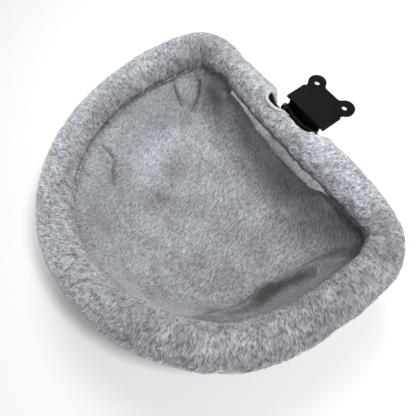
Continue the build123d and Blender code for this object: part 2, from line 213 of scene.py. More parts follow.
def readRound(obj):
    # Share of the way round the ring, from 0 to 1
    return readAngle(obj, "round") / (2 * math.pi) % 1


def smoothStep(low, high, value):
    share = np.clip((value - low) / (high - low), 0, 1)
    return share * share * (3 - 2 * share)


def fadeBetween(value, rise, fall):
    # 1 between the two ramps, each given as (start, end)
    return smoothStep(*rise, value) * (1 - smoothStep(*fall, value))


# Each step of the seed reads the noise this far on
seedStep = (7.31, 3.17, 5.53)


def noiseAt(points, size, seed):
    # Smooth noise from -1 to 1 whose blobs are about the given size across
    shift = Vector([seed * step for step in seedStep])
    return np.array([noise.noise(Vector(point) + shift) for point in points / size])


def bumpSum(share, bumps):
    # Soft bumps round a loop, each as (place as a share of the way round, half width, height)
    total = np.zeros_like(share)
    for place, width, height in bumps:
        away = np.abs((share - place + 0.5) % 1 - 0.5)
        total += height * np.exp(-(away / width) ** 2)
    return total


def finishPiece(obj, name, body, material, *replaced, slot):
    obj.name = name
    obj.data.name = name
    selectOnly(obj)
    bpy.ops.object.transform_apply(location=True, rotation=True, scale=True)
    obj.data.materials.clear()
    obj.data.materials.append(material)
    bpy.ops.object.shade_smooth()
    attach(obj, body)
    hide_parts(*replaced)


# Shader node groups that the materials share
def newGroup(name, inputs, outputs):
    # Sockets are given as label and kind
    group = bpy.data.node_groups.new(name, "ShaderNodeTree")
    for way, sockets in (("INPUT", inputs), ("OUTPUT", outputs)):
        for label, kind in sockets.items():
            group.interface.new_socket(label, in_out=way, socket_type="NodeSocket" + kind)
    return group, group.nodes.new("NodeGroupInput"), group.nodes.new("NodeGroupOutput")


def feed(tree, socket, value):
    # The value is a socket to link from or plain numbers, three of them for a colour
    if isinstance(value, bpy.types.NodeSocket):
        tree.links.new(value, socket)
    elif socket.type == "RGBA":
        socket.default_value = (*value, 1)
    else:
        socket.default_value = value


def addNode(tree, kind, settings=None, **values):
    # settings are the node's own properties, values its inputs, by their name or by their index as i0, i1
    made = tree.nodes.new("ShaderNode" + kind)
    for key, value in (settings or {}).items():
        setattr(made, key, value)
    for key, value in values.items():
        isIndex = key[0] == "i" and key[1:].isdigit()
        feed(tree, made.inputs[int(key[1:]) if isIndex else key], value)
    return made


def mathNode(tree, operation, first, second):
    return addNode(tree, "Math", {"operation": operation}, i0=first, i1=second).outputs[0]


def vectorNode(tree, operation, first, second):
    return addNode(tree, "VectorMath", {"operation": operation}, i0=first, i1=second).outputs[0]


def scaleNode(tree, vector, factor):
    return addNode(tree, "VectorMath", {"operation": "SCALE"}, i0=vector, Scale=factor).outputs[0]


def spreadNode(tree, value, low, high, newLow=0.0, newHigh=1.0):
    return addNode(tree, "MapRange", i0=value, i1=low, i2=high, i3=newLow, i4=newHigh).outputs[0]


def noiseNode(tree, place, detail, roughness):
    # Noise whose blobs are about one unit of the vector across
    made = addNode(tree, "TexNoise", Vector=place, Scale=1.0, Detail=detail, Roughness=roughness)
    return made.outputs[0]


# The pile's strands and clumps
weave = {
    "swayScale": 42.0, "swayDetail": 1.0, "detail": 1.5, "strandRough": 0.6, "clumpRough": 0.5,
    "clumpRates": (0.35, 0.5, 0.35), "strandPart": 0.65, "clumpPart": 0.35,
    "heightRange": (0.33, 0.67), "toneRange": (0.36, 0.64),
}


def buildPileGroup():
    # Brushed fibres: fine strands that run along the vector's Y, gathered in soft clumps
    inputs = {"Vector": "Vector", "Width": "Float", "Length": "Float", "Sway": "Float"}
    group, taken, given = newGroup("pile", inputs, {"Height": "Float", "Tone": "Float"})
    place = taken.outputs["Vector"]
    warp = addNode(group, "TexNoise", Vector=place, Scale=weave["swayScale"], Detail=weave["swayDetail"])
    swayed = vectorNode(group, "SUBTRACT", warp.outputs["Color"], (0.5, 0.5, 0.5))
    moved = vectorNode(group, "ADD", place, scaleNode(group, swayed, taken.outputs["Sway"]))
    fine = mathNode(group, "DIVIDE", 1.0, taken.outputs["Width"])
    long = mathNode(group, "DIVIDE", 1.0, taken.outputs["Length"])
    rates = addNode(group, "CombineXYZ", X=fine, Y=long, Z=fine).outputs[0]
    scaled = vectorNode(group, "MULTIPLY", moved, rates)
    strand = noiseNode(group, scaled, weave["detail"], weave["strandRough"])
    wide = vectorNode(group, "MULTIPLY", scaled, weave["clumpRates"])
    clump = noiseNode(group, wide, weave["detail"], weave["clumpRough"])
    strandShare = mathNode(group, "MULTIPLY", strand, weave["strandPart"])
    both = mathNode(group, "ADD", strandShare, mathNode(group, "MULTIPLY", clump, weave["clumpPart"]))
    group.links.new(spreadNode(group, both, *weave["heightRange"]), given.inputs["Height"])
    group.links.new(spreadNode(group, both, *weave["toneRange"]), given.inputs["Tone"])
    return group


# The grain of hard finishes
coat = {
    "heightRange": (0.35, 0.65), "cloudRange": (0.35, 0.65), "speckRange": (0.66, 0.74),
    "grainDetail": 2.0, "cloudDetail": 3.0, "rough": 0.5, "cloud": 0.025, "cloudWear": 0.6,
    "bumpDepth": 0.0002,
}


def buildGrainGroup():
    # Fine even grain with faint larger clouds, for coats, plastic and rubber
    inputs = {"Vector": "Vector", "Grain": "Float", "Cloud": "Float"}
    group, taken, given = newGroup("grain", inputs, {"Height": "Float", "Cloudy": "Float", "Speck": "Float"})
    small = scaleNode(group, taken.outputs["Vector"], mathNode(group, "DIVIDE", 1.0, taken.outputs["Grain"]))
    height = noiseNode(group, small, coat["grainDetail"], coat["rough"])
    large = scaleNode(group, taken.outputs["Vector"], mathNode(group, "DIVIDE", 1.0, taken.outputs["Cloud"]))
    cloud = noiseNode(group, large, coat["cloudDetail"], coat["rough"])
    group.links.new(spreadNode(group, height, *coat["heightRange"]), given.inputs["Height"])
    group.links.new(spreadNode(group, cloud, *coat["cloudRange"]), given.inputs["Cloudy"])
    group.links.new(spreadNode(group, height, *coat["speckRange"]), given.inputs["Speck"])
    return group


pileGroup = buildPileGroup()
grainGroup = buildGrainGroup()


def groupNode(tree, group, **values):
    made = tree.nodes.new("ShaderNodeGroup")
    made.node_tree = group
    for key, value in values.items():
        feed(tree, made.inputs[key], value)
    return made


def blendColors(tree, share, dark, bright):
    mix = tree.nodes.new("ShaderNodeMix")
    mix.data_type = "RGBA"
    tree.links.new(share, mix.inputs["Factor"])
    colorInputs = [socket for socket in mix.inputs if socket.type == "RGBA"]
    for socket, color in zip(colorInputs, (dark, bright)):
        feed(tree, socket, color)
    return [socket for socket in mix.outputs if socket.type == "RGBA"][0]


def addBump(tree, shader, height, strength, distance):
    bump = addNode(tree, "Bump", Strength=strength, Distance=distance, Height=height)
    tree.links.new(bump.outputs[0], shader.inputs["Normal"])


# Plush finishes: dark and light are the pile's colours, patch and patchDark size and tone of brushed spots;
# width, length, sway and turn lay the strands, and bump and depth raise them
plushLooks = {
    "rim": {
        "dark": (0.25, 0.26, 0.292), "light": (0.86, 0.88, 0.94),
        "sheen": 1.0, "patch": 0.024, "patchDark": 0.80, "bump": 0.9, "depth": 0.0015,
        "width": 0.0014, "length": 0.0060, "sway": 0.010, "turn": 10,
    },
    "bag": {
        "dark": (0.28, 0.291, 0.320), "light": (0.83, 0.853, 0.905),
        "sheen": 0.6, "patch": 0.045, "patchDark": 0.82, "bump": 0.7, "depth": 0.0010,
        "width": 0.0012, "length": 0.0050, "sway": 0.004, "turn": -20,
    },
    # A darker copy of the bag's plush: painted shade for the strip under the rim
    "hem": {
        "dark": (0.20, 0.206, 0.222), "light": (0.52, 0.53, 0.555),
        "sheen": 0.15, "patch": 0.03, "patchDark": 0.8, "bump": 0.7, "depth": 0.0010,
        "width": 0.0012, "length": 0.0050, "sway": 0.004, "turn": -20,
    },
    # Near-black painted shade for the hollow inside the mouth
    "lining": {
        "dark": (0.004, 0.004, 0.005), "light": (0.016, 0.016, 0.018),
        "sheen": 0.0, "patch": 0.03, "patchDark": 0.8, "bump": 0.4, "depth": 0.0008,
        "width": 0.0012, "length": 0.004, "sway": 0.004, "turn": 0,
    },
    "binding": {
        "dark": (0.52, 0.53, 0.55), "light": (0.66, 0.67, 0.69),
        "sheen": 0.4, "patch": 0.02, "patchDark": 0.92, "bump": 0.25, "depth": 0.0003,
        "width": 0.0006, "length": 0.002, "sway": 0.001, "turn": 0,
    },
    "padding": {
        "dark": (0.50, 0.50, 0.49), "light": (0.74, 0.74, 0.72),
        "sheen": 0.2, "patch": 0.03, "patchDark": 0.85, "bump": 0.8, "depth": 0.0012,
        "width": 0.0022, "length": 0.0060, "sway": 0.012, "turn": 0,
    },
}
pileFinish = {
    "rough": (0.95, 0.8), "sheenRough": 0.35, "gloss": 0.2,
    "patchRange": (0.4, 0.6), "patchDetail": 1.5, "patchTwist": 0.6,
}


def plushMaterial(name, look, source=None, stretch=(1.0, 1.0, 1.0), shade=None):
    # Strands lie in the XY plane of the object, or of the UV map or the attribute that source names;
    # shade names an attribute of the cloth's tone and painted shade that darkens it, from 0 to 1
    material, tree, shader = startMaterial(name)
    objectPlace = addNode(tree, "TexCoord").outputs["Object"]
    place = objectPlace
    if source == "UV":
        place = addNode(tree, "TexCoord").outputs["UV"]
    elif source:
        place = addNode(tree, "Attribute", {"attribute_name": source}).outputs["Vector"]
    turn = (0, 0, math.radians(look["turn"]))
    laid = addNode(tree, "Mapping", Vector=place, Rotation=turn, Scale=stretch).outputs[0]
    pile = groupNode(
        tree, pileGroup, Vector=laid, Width=look["width"], Length=look["length"], Sway=look["sway"])
    patch = addNode(
        tree, "TexNoise", Vector=objectPlace, Scale=1 / look["patch"],
        Detail=pileFinish["patchDetail"], Distortion=pileFinish["patchTwist"])
    share = spreadNode(tree, patch.outputs[0], *pileFinish["patchRange"], look["patchDark"], 1.0)
    if shade:
        darkened = addNode(tree, "Attribute", {"attribute_name": shade}).outputs["Fac"]
        share = mathNode(tree, "MULTIPLY", share, mathNode(tree, "SUBTRACT", 1.0, darkened))
    color = blendColors(tree, pile.outputs["Tone"], look["dark"], look["light"])
    tree.links.new(scaleNode(tree, color, share), shader.inputs["Base Color"])
    roughness = spreadNode(tree, pile.outputs["Tone"], 0, 1, *pileFinish["rough"])
    tree.links.new(roughness, shader.inputs["Roughness"])
    shader.inputs["Sheen Weight"].default_value = look["sheen"]
    shader.inputs["Sheen Roughness"].default_value = pileFinish["sheenRough"]
    shader.inputs["Specular IOR Level"].default_value = pileFinish["gloss"]
    addBump(tree, shader, pile.outputs["Height"], look["bump"], look["depth"])
    return material


# Hard finishes
hardLooks = {
    "clampCoat": {
        "color": (0.003, 0.003, 0.0036), "worn": (0.0065, 0.0065, 0.0074),
        "rough": (0.42, 0.55), "metal": 0.0, "grain": 0.0004, "bump": 0.2, "gloss": 0.10,
    },
    "blackOxide": {
        "color": (0.012, 0.012, 0.013), "worn": (0.035, 0.035, 0.038),
        "rough": (0.32, 0.48), "metal": 0.5, "grain": 0.0006, "bump": 0.12, "gloss": 0.4,
    },
    "rubber": {
        "color": (0.015, 0.015, 0.016), "worn": (0.035, 0.035, 0.036),
        "rough": (0.75, 0.92), "metal": 0.0, "grain": 0.0008, "bump": 0.4, "gloss": 0.3,
    },
    "zincSteel": {
        "color": (0.52, 0.53, 0.54), "worn": (0.66, 0.66, 0.67),
        "rough": (0.24, 0.42), "metal": 1.0, "grain": 0.0007, "bump": 0.1, "gloss": 0.5,
    },
    "knobPlastic": {
        "color": (0.022, 0.022, 0.024), "worn": (0.05, 0.05, 0.054),
        "rough": (0.42, 0.6), "metal": 0.0, "grain": 0.0003, "bump": 0.3, "gloss": 0.4,
    },
    "tubePaint": {
        "color": (0.018, 0.018, 0.02), "worn": (0.035, 0.035, 0.038),
        "rough": (0.35, 0.5), "metal": 0.0, "grain": 0.0005, "bump": 0.15, "gloss": 0.4,
    },
}


def hardMaterial(name, look):
    material, tree, shader = startMaterial(name)
    place = addNode(tree, "TexCoord").outputs["Object"]
    grain = groupNode(tree, grainGroup, Vector=place, Grain=look["grain"], Cloud=coat["cloud"])
    cloudy = grain.outputs["Cloudy"]
    wear = spreadNode(tree, cloudy, 0, 1, 0, coat["cloudWear"])
    base = blendColors(tree, wear, look["color"], look["worn"])
    color = blendColors(tree, grain.outputs["Speck"], base, look["worn"])
    tree.links.new(color, shader.inputs["Base Color"])
    tree.links.new(spreadNode(tree, cloudy, 0, 1, *look["rough"]), shader.inputs["Roughness"])
    shader.inputs["Metallic"].default_value = look["metal"]
    shader.inputs["Specular IOR Level"].default_value = look["gloss"]
    addBump(tree, shader, grain.outputs["Height"], look["bump"], coat["bumpDepth"])
    return material


hardMaterials = {name: hardMaterial(name, look) for name, look in hardLooks.items()}
slotFinishes = {
    "clamp_black": "clampCoat", "fastener_black": "blackOxide", "rubber_black": "rubber",
    "screw_steel": "zincSteel", "knob_plastic": "knobPlastic", "tube_black": "tubePaint",
}


def dressHardNodes():
    for part in frame["record"]["subparts"]:
        finish = slotFinishes.get(part["material_slot"])
        if finish:
            obj = bpy.data.objects[part["node"]]
            for slot in obj.material_slots:
                slot.material = hardMaterials[finish]


dressHardNodes()
print("materials ready")


# The ring's plan, the same arcs as the tube frame
ring = {
    "halfWidth": 0.22, "depth": 0.355, "corner": 0.043, "noseShare": 0.92, "noseAngle": 45,
    "reach": 0.0226, "drop": 0.0195, "straightBack": -0.07,
    "arcSteps": 60, "plainRadius": 0.2, "plainTube": 0.02,
}


def arcPoints(x, y, radius, start, end):
    turn = np.linspace(start, end, ring["arcSteps"])
    return np.stack([x + radius * np.cos(turn), y + radius * np.sin(turn)], axis=1)


def outlineLoop(inset, corner, count):
    # Points at even steps round the D, from the middle of its straight side towards -X
    turn = math.radians(ring["noseAngle"])
    halfWidth = ring["halfWidth"] - inset
    noseRadius = ring["noseShare"] * ring["halfWidth"] - inset
    noseY = ring["noseShare"] * ring["halfWidth"] - ring["depth"]
    sideRadius = (halfWidth - noseRadius * math.sin(turn)) / (1 - math.sin(turn))
    sideX = halfWidth - sideRadius
    sideY = noseY + (sideRadius - noseRadius) * math.cos(turn)
    cornerY = -inset - corner
    cornerX = sideX + math.sqrt((sideRadius - corner) ** 2 - (cornerY - sideY) ** 2)
    cornerTurn = math.atan2(cornerY - sideY, cornerX - sideX)
    right = np.concatenate([
        [[0, -inset]],
        arcPoints(cornerX, cornerY, corner, math.pi / 2, cornerTurn),
        arcPoints(sideX, sideY, sideRadius, cornerTurn, turn - math.pi / 2)[1:],
        arcPoints(0, noseY, noseRadius, turn - math.pi / 2, -math.pi / 2)[1:],
    ])
    left = right * (-1, 1)
    loop = np.concatenate([left, right[::-1][1:]])
    steps = np.linalg.norm(np.diff(loop, axis=0), axis=1)
    along = np.concatenate([[0], np.cumsum(steps)])
    wanted = np.linspace(0, along[-1], count, endpoint=False)
    x, y = (np.interp(wanted, along, loop[:, axis]) for axis in (0, 1))
    return np.stack([x, y - ring["reach"]], axis=1)


def ringFrame(count):
    # Centreline points with their outward directions
    centre = outlineLoop(0, ring["corner"], count)
    forward = np.roll(centre, -1, axis=0) - np.roll(centre, 1, axis=0)
    forward /= np.linalg.norm(forward, axis=1)[:, None]
    outward = np.stack([forward[:, 1], -forward[:, 0]], axis=1)
    return centre, outward


def aroundBar(points):
    # How far places lie from the bar's axis along Y and Z, and which of them are on the ring's straight side
    y, z = points[:, 1] + ring["reach"], points[:, 2] + ring["drop"]
    return y, z, points[:, 1] > ring["straightBack"]


def pressToBar(points, weight, depth):
    # Surface is drawn in towards the bar's axis, down to the given depth
    y, z, _ = aroundBar(points)
    away = np.maximum(np.hypot(y, z), depth)
    share = 1 - weight * (1 - depth / away)
    points[:, 1] = y * share - ring["reach"]
    points[:, 2] = z * share - ring["drop"]


# Plush rim: a puffed sleeve, drawn in at the clamp, with a mouth on its left that shows the bar
rimPlush = {
    "around": 200, "section": 30, "levels": 2, "tube": 0.0258, "frontTube": 0.0276, "frontFade": (0.2, 0.5),
    # Creases at the corners: (share of the way round, half width, depth, middle in degrees round the tube)
    "creases": [(0.129, 0.0030, 0.0040, 148), (0.154, 0.0030, 0.0036, 128), (0.846, 0.0034, 0.0034, 150)],
    "creaseReach": 42,
    # Read off the photo's two outlines: (share of the way round, outward shift, change of the tube's radius)
    "form": [
        (0.0, -0.0013, 0.001), (0.042, -0.0005, 0.0012), (0.083, 0.002, -0.0016), (0.104, 0.003, -0.0027),
        (0.125, 0.0004, 0.0003), (0.15, 0.0026, 0.002), (0.167, 0.0, 0.0033), (0.2, -0.005, 0.0024),
        (0.25, -0.0052, -0.0003), (0.292, -0.0031, -0.0018), (0.333, -0.0003, -0.0032),
        (0.375, 0.0007, -0.0042), (0.417, 0.0023, -0.005), (0.458, 0.0012, -0.0052),
        (0.5, -0.0014, -0.0052), (0.542, -0.0044, -0.0036), (0.583, -0.0051, -0.0002),
        (0.604, -0.0038, 0.0), (0.625, -0.0018, 0.0002), (0.64, -0.0003, 0.0), (0.667, 0.0011, 0.0),
        (0.7, -0.0013, 0.0008), (0.72, -0.0032, 0.0), (0.75, -0.006, -0.0006), (0.78, -0.0046, -0.0002),
        (0.8, -0.0017, -0.0006), (0.82, 0.0023, -0.0019), (0.833, 0.0012, -0.0019),
        (0.85, -0.0013, -0.0026), (0.867, -0.0028, -0.0026), (0.9, -0.0008, 0.0007), (0.93, 0.0, 0.002),
        (0.958, -0.0011, 0.0022),
    ],
    "bridgeDepth": 0.0095, "bridgeLean": (0.8056, 0.5924), "deskLimit": 0.0110,
    "bridgeRise": (-0.064, -0.042), "bridgeFall": (0.008, 0.052),
    "length": 1.12, "girth": 0.17, "pileRadius": 0.027,
    "pileHeight": 0.0013, "pileWide": 0.0028, "pileLong": 0.0048, "pileSway": 0.004, "pileSwayWide": 0.03,
    "clumpPart": 0.7, "blobPart": 0.5, "blobWide": 0.006, "waveHeight": 0.0012, "waveWide": 0.035,
}
# Painted shade on the rim's pile, how much darker from 0 to 1: by the angle round the tube, darker at the
# crest and inside;
# on the side of the ring turned from the light; near the back corner; along the seam and in the creases;
# straight is taken off inside the straight side
rimShades = {
    "turns": (30, 90, 140), "darks": (0.04, 0.11, 0.34), "insideFrom": (90, 140),
    "turned": 0.34, "turnedRise": (0.46, 0.58), "turnedFall": (0.84, 0.92), "turnedInside": 0.3,
    "corner": [(0.15, 0.035, 0.26)], "straight": [(0.97, 0.10, 0.24)], "patch": 0.25, "patchWide": 0.03,
    "seam": 0.72, "seamRise": (170, 184), "seamFall": (235, 260), "crease": 0.6, "darkest": 0.75,
}
# The mouth runs from left to right along X and from low to high round the bar, and slant tilts its left edge
mouth = {
    "left": -0.0575, "right": -0.0215, "low": -45, "high": 103, "slant": 0.010, "slantFade": (30, 80),
    "inner": 0.0062, "power": 3.2, "edge": (0.94, 1.06), "shadedFrom": 0.15,
}
pressure = {"force": 4, "frames": 20, "grow": -0.035, "cap": 0.005, "quality": 5, "held": (-170, -120)}


def formAt(share):
    # The rim's outward shift and the change of its tube's radius, at shares of the way round
    rows = np.array(rimPlush["form"])
    return [np.interp(share, rows[:, 0], rows[:, column], period=1) for column in (1, 2)]


def buildRim(count, section, radius, frontRadius):
    # A plain torus whose points are then moved
    bpy.ops.mesh.primitive_torus_add(
        major_segments=count, minor_segments=section,
        major_radius=ring["plainRadius"], minor_radius=ring["plainTube"])
    rim = bpy.context.object
    points = readPoints(rim)
    major = np.round(np.arctan2(points[:, 1], points[:, 0]) / (2 * math.pi) * count).astype(int) % count
    turn = np.arctan2(points[:, 2], np.hypot(points[:, 0], points[:, 1]) - ring["plainRadius"])
    centre, outward = ringFrame(count)
    share = major / count
    front = smoothStep(*rimPlush["frontFade"], np.minimum(share, 1 - share))
    shift, change = formAt(share)
    tube = radius + (frontRadius - radius) * front + change
    push = tube * np.cos(turn) + shift
    x = centre[major, 0] + outward[major, 0] * push
    y = centre[major, 1] + outward[major, 1] * push
    writePoints(rim, np.stack([x, y, -ring["drop"] + tube * np.sin(turn)], axis=1))
    writeAngle(rim, "round", share * 2 * math.pi)
    writeAngle(rim, "turn", turn)
    return rim


def puffRim(rim):
    # Cloth under pressure, held along the seam where the bag hangs, a little larger than its form
    before = readPoints(rim)
    turn = np.degrees(readAngle(rim, "turn"))
    seam = rim.vertex_groups.new(name="seam")
    held = np.nonzero((turn > pressure["held"][0]) & (turn < pressure["held"][1]))[0]
    seam.add([int(index) for index in held], 1.0, "REPLACE")
    cloth = rim.modifiers.new("Cloth", "CLOTH")
    cloth.settings.vertex_group_mass = "seam"
    cloth.settings.use_pressure = True
    cloth.settings.uniform_pressure_force = pressure["force"]
    cloth.settings.shrink_min = pressure["grow"]
    cloth.settings.quality = pressure["quality"]
    cloth.settings.effector_weights.gravity = 0
    for step in range(1, pressure["frames"] + 1):
        bpy.context.scene.frame_set(step)
    applyModifiers(rim)
    bpy.context.scene.frame_set(1)
    moved = readPoints(rim) - before
    length = np.linalg.norm(moved, axis=1)
    moved *= (np.minimum(length, pressure["cap"]) / np.maximum(length, 1e-9))[:, None]
    writePoints(rim, before + moved)


def shapeBridge(points):
    # At the clamp the sleeve is drawn in against the bare rear bar
    y, z, straight = aroundBar(points)
    weight = fadeBetween(points[:, 0], rimPlush["bridgeRise"], rimPlush["bridgeFall"]) * straight
    leanY, leanZ = rimPlush["bridgeLean"]
    over = np.maximum(y * leanY + z * leanZ - rimPlush["bridgeDepth"], 0) * weight
    points[:, 1] -= over * leanY
    points[:, 2] -= over * leanZ
    points[:, 1] -= np.maximum(points[:, 1] + ring["reach"] - rimPlush["deskLimit"], 0) * weight


def mouthMiddle():
    # The mouth's middle along the bar and round it, then its half sizes
    x, turn = (mouth["left"] + mouth["right"]) / 2, (mouth["high"] + mouth["low"]) / 2
    return x, turn, (mouth["right"] - mouth["left"]) / 2, (mouth["high"] - mouth["low"]) / 2


def mouthLean(turn):
    # How much further right the mouth's left edge stands low down
    return mouth["slant"] * (1 - smoothStep(*mouth["slantFade"], turn))


def mouthShare(x, turn):
    # How far a place on the sleeve lies from the mouth's middle: under 1 is inside
    middle, middleTurn, half, halfTurn = mouthMiddle()
    across = np.abs(x - mouthLean(turn) * (x < middle) - middle) / half
    along = np.abs(turn - middleTurn) / halfTurn
    return (across ** mouth["power"] + along ** mouth["power"]) ** (1 / mouth["power"])


def openMouth(points):
    # Inside the mouth the sleeve's surface is pushed back into the bar, so the bar and its collar show
    y, z, straight = aroundBar(points)
    turn = np.degrees(np.arctan2(z, y))
    weight = (1 - smoothStep(*mouth["edge"], mouthShare(points[:, 0], turn))) * straight
    pressToBar(points, weight, mouth["inner"])
    return weight


def raisePile(rim):
    # Clumped fibres and soft waves stand on the sleeve; creases run across it at the corners
    points, normals = readPoints(rim), readNormals(rim)
    share, turn = readRound(rim), readAngle(rim, "turn")
    height = noiseAt(points, rimPlush["waveWide"], seed=1) * rimPlush["waveHeight"]
    for place, width, depth, middle in rimPlush["creases"]:
        away = np.degrees(turn - math.radians(middle)) / rimPlush["creaseReach"]
        height -= bumpSum(share, [(place, width, depth)]) * np.exp(-away ** 2)
    sway = noiseAt(points, rimPlush["pileSwayWide"], seed=2) * rimPlush["pileSway"]
    along = (share * rimPlush["length"] + sway) / rimPlush["pileWide"]
    across = turn * rimPlush["pileRadius"] / rimPlush["pileLong"]
    surface = np.stack([along, across, np.zeros_like(turn)], axis=1)
    clump, blob = noiseAt(surface, 1.0, seed=3), noiseAt(points, rimPlush["blobWide"], seed=4)
    height += (rimPlush["clumpPart"] * clump + rimPlush["blobPart"] * blob) * rimPlush["pileHeight"]
    return points + normals * height[:, None]


def makeRim():
    rim = buildRim(rimPlush["around"], rimPlush["section"], rimPlush["tube"], rimPlush["frontTube"])
    puffRim(rim)
    subdivide(rim, rimPlush["levels"])
    points = readPoints(rim)
    shapeBridge(points)
    writePoints(rim, points)
    points = raisePile(rim)
    writeShare(rim, "mouthShare", openMouth(points))
    writePoints(rim, points)
    writeShare(rim, "toneAndPaintedShade", rimPaintedShade(rim, points))
    return rim


def rimPaintedShade(rim, points):
    # Painted shade on the pile: darker at the crest and inside the tube, on the side of the ring turned from
    # the light, near the back corner, along the seam and in the creases, varied at random
    share, turn = readRound(rim), np.degrees(readAngle(rim, "turn"))
    tone = np.interp(turn, rimShades["turns"], rimShades["darks"])
    inside = smoothStep(*rimShades["insideFrom"], turn)
    turned = rimShades["turned"] * fadeBetween(share, rimShades["turnedRise"], rimShades["turnedFall"])
    tone += turned * (1 - (1 - rimShades["turnedInside"]) * inside)
    tone += bumpSum(share, rimShades["corner"]) - inside * bumpSum(share, rimShades["straight"])
    tone *= 1 + rimShades["patch"] * noiseAt(points, rimShades["patchWide"], seed=8)
    # Painted shade along the seam where the bag hangs
    seam = fadeBetween(turn % 360, rimShades["seamRise"], rimShades["seamFall"])
    tone = np.maximum(tone, rimShades["seam"] * seam)
    # Painted shade in the corner creases
    for place, width, _, middle in rimPlush["creases"]:
        away = (turn % 360 - middle) / rimPlush["creaseReach"]
        line = bumpSum(share, [(place, width, 1.0)]) * np.exp(-away ** 2)
        tone = np.maximum(tone, rimShades["crease"] * line)
    return np.clip(tone, 0, rimShades["darkest"])


def shadeMouth(rim, material):
    # The faces inside the mouth take a near-black material, painted shade for the hollow of the sleeve's
    # mouth
    rim.data.materials.append(material)
    inside = readShare(rim, "mouthShare")
    for face in rim.data.polygons:
        if max(inside[index] for index in face.vertices) > mouth["shadedFrom"]:
            face.material_index = 1


rim = makeRim()
rimSize = (rimPlush["length"], rimPlush["girth"], 1.0)
rimMaterial = plushMaterial("rimPlush", plushLooks["rim"], source="UV", stretch=rimSize, shade="toneAndPaintedShade")
finishPiece(rim, "rimSleeve", "hammock", rimMaterial, "rim_cover_back", "rim_cover_front", slot="plush_rim")
shadeMouth(rim, plushMaterial("mouthShadeLining", plushLooks["lining"]))
print("rim made")


# Bound edge of the mouth, and a short one where the sleeve meets the clamp again on the right
binding = {
    "radius": 0.0029, "points": 40, "outside": 1.14, "lift": 0.0004, "castFrom": 0.06,
    "rightX": 0.0305, "rightTurns": (-40, 95), "rightPoints": 16, "rightShare": 0.8,
    "order": 3, "facets": 3, "steps": 6,
}


def surfacePoint(obj, x, turn):
    # The sleeve's surface, straight out from the bar's axis
    axis = Vector((x, -ring["reach"], -ring["drop"]))
    outward = Vector((0, math.cos(math.radians(turn)), math.sin(math.radians(turn))))
    _, place, normal, _ = obj.ray_cast(axis + outward * binding["castFrom"], -outward)
    return place + normal * binding["lift"]


def signedPower(value, power):
    return math.copysign(abs(value) ** power, value)


def mouthLoop():
    middle, middleTurn, half, halfTurn = mouthMiddle()
    half *= binding["outside"]
    halfTurn *= binding["outside"]
    places = []
    for step in range(binding["points"]):
        angle = 2 * math.pi * step / binding["points"]
        across, up = math.cos(angle), math.sin(angle)
        turn = middleTurn + halfTurn * signedPower(up, 2 / mouth["power"])
        x = middle + half * signedPower(across, 2 / mouth["power"])
        if across < 0:
            x += float(mouthLean(turn))
        places.append((x, turn))
    return places


def cordPiece(places, closed, radius):
    curve = bpy.data.curves.new("edge", "CURVE")
    curve.dimensions = "3D"
    spline = curve.splines.new("NURBS")
    spline.points.add(len(places) - 1)
    for point, place in zip(spline.points, places):
        point.co = (*place, 1)
    spline.order_u = binding["order"]
    spline.use_cyclic_u = closed
    spline.use_endpoint_u = not closed
    curve.bevel_depth = radius
    curve.bevel_resolution = binding["facets"]
    curve.resolution_u = binding["steps"]
    curve.use_fill_caps = not closed
    obj = bpy.data.objects.new("edge", curve)
    bpy.context.scene.collection.objects.link(obj)
    selectOnly(obj)
    bpy.ops.object.convert(target="MESH")
    return bpy.context.object


bindingMaterial = plushMaterial("bindingCloth", plushLooks["binding"])
leftEdge = cordPiece([surfacePoint(rim, x, turn) for x, turn in mouthLoop()], True, binding["radius"])
finishPiece(leftEdge, "mouthBinding", "hammock", bindingMaterial, "cuff_left", slot="binding")
rightTurns = np.linspace(*binding["rightTurns"], binding["rightPoints"])
rightPlaces = [surfacePoint(rim, binding["rightX"], turn) for turn in rightTurns]
rightEdge = cordPiece(rightPlaces, False, binding["radius"] * binding["rightShare"])
finishPiece(rightEdge, "rightBinding", "hammock", bindingMaterial, "cuff_right", slot="binding")
print("bindings made")


# Fibre padding inside the sleeve
padding = {
    "around": 160, "section": 20, "tube": 0.0160, "lump": 0.0006, "lumpWide": 0.012,
    "thinDepth": 0.0045, "thinRise": (-0.10, -0.068), "thinFall": (0.045, 0.075),
}


def makePadding():
    fill = buildRim(padding["around"], padding["section"], padding["tube"], padding["tube"])
    points, normals = readPoints(fill), readNormals(fill)
    points += normals * (noiseAt(points, padding["lumpWide"], seed=6) * padding["lump"])[:, None]
    weight = fadeBetween(points[:, 0], padding["thinRise"], padding["thinFall"]) * aroundBar(points)[2]
    pressToBar(points, weight, padding["thinDepth"])
    writePoints(fill, points)
    return fill


fill = makePadding()
paddingMaterial = plushMaterial("fibrePadding", plushLooks["padding"])
finishPiece(fill, "rimPadding", "hammock", paddingMaterial, "rim_foam", slot="foam")
print("padding made")


# Bag: one bowl of short plush, its side a quarter ellipse, with the photo's folds
bag = {
    "around": 240, "sideRows": 30, "floorRows": 10, "levels": 1,
    "topInset": 0.0285, "floorInset": 0.076, "topCorner": 0.0145, "floorCorner": 0.066,
    "topZ": -0.0165, "depth": 0.108, "dish": 0.004, "thick": 0.004, "middle": (0.0, -0.18),
    "flare": 0.0080, "flareFade": (0.04, 0.22), "tuck": (-0.002, 0.007), "tuckFade": (0.05, 0.38),
    "waveHeight": 0.0024, "waveWide": 0.050, "fineHeight": 0.0006, "fineWide": 0.012,
    "looseFrom": (0.03, 0.12), "weld": 0.00002,
}
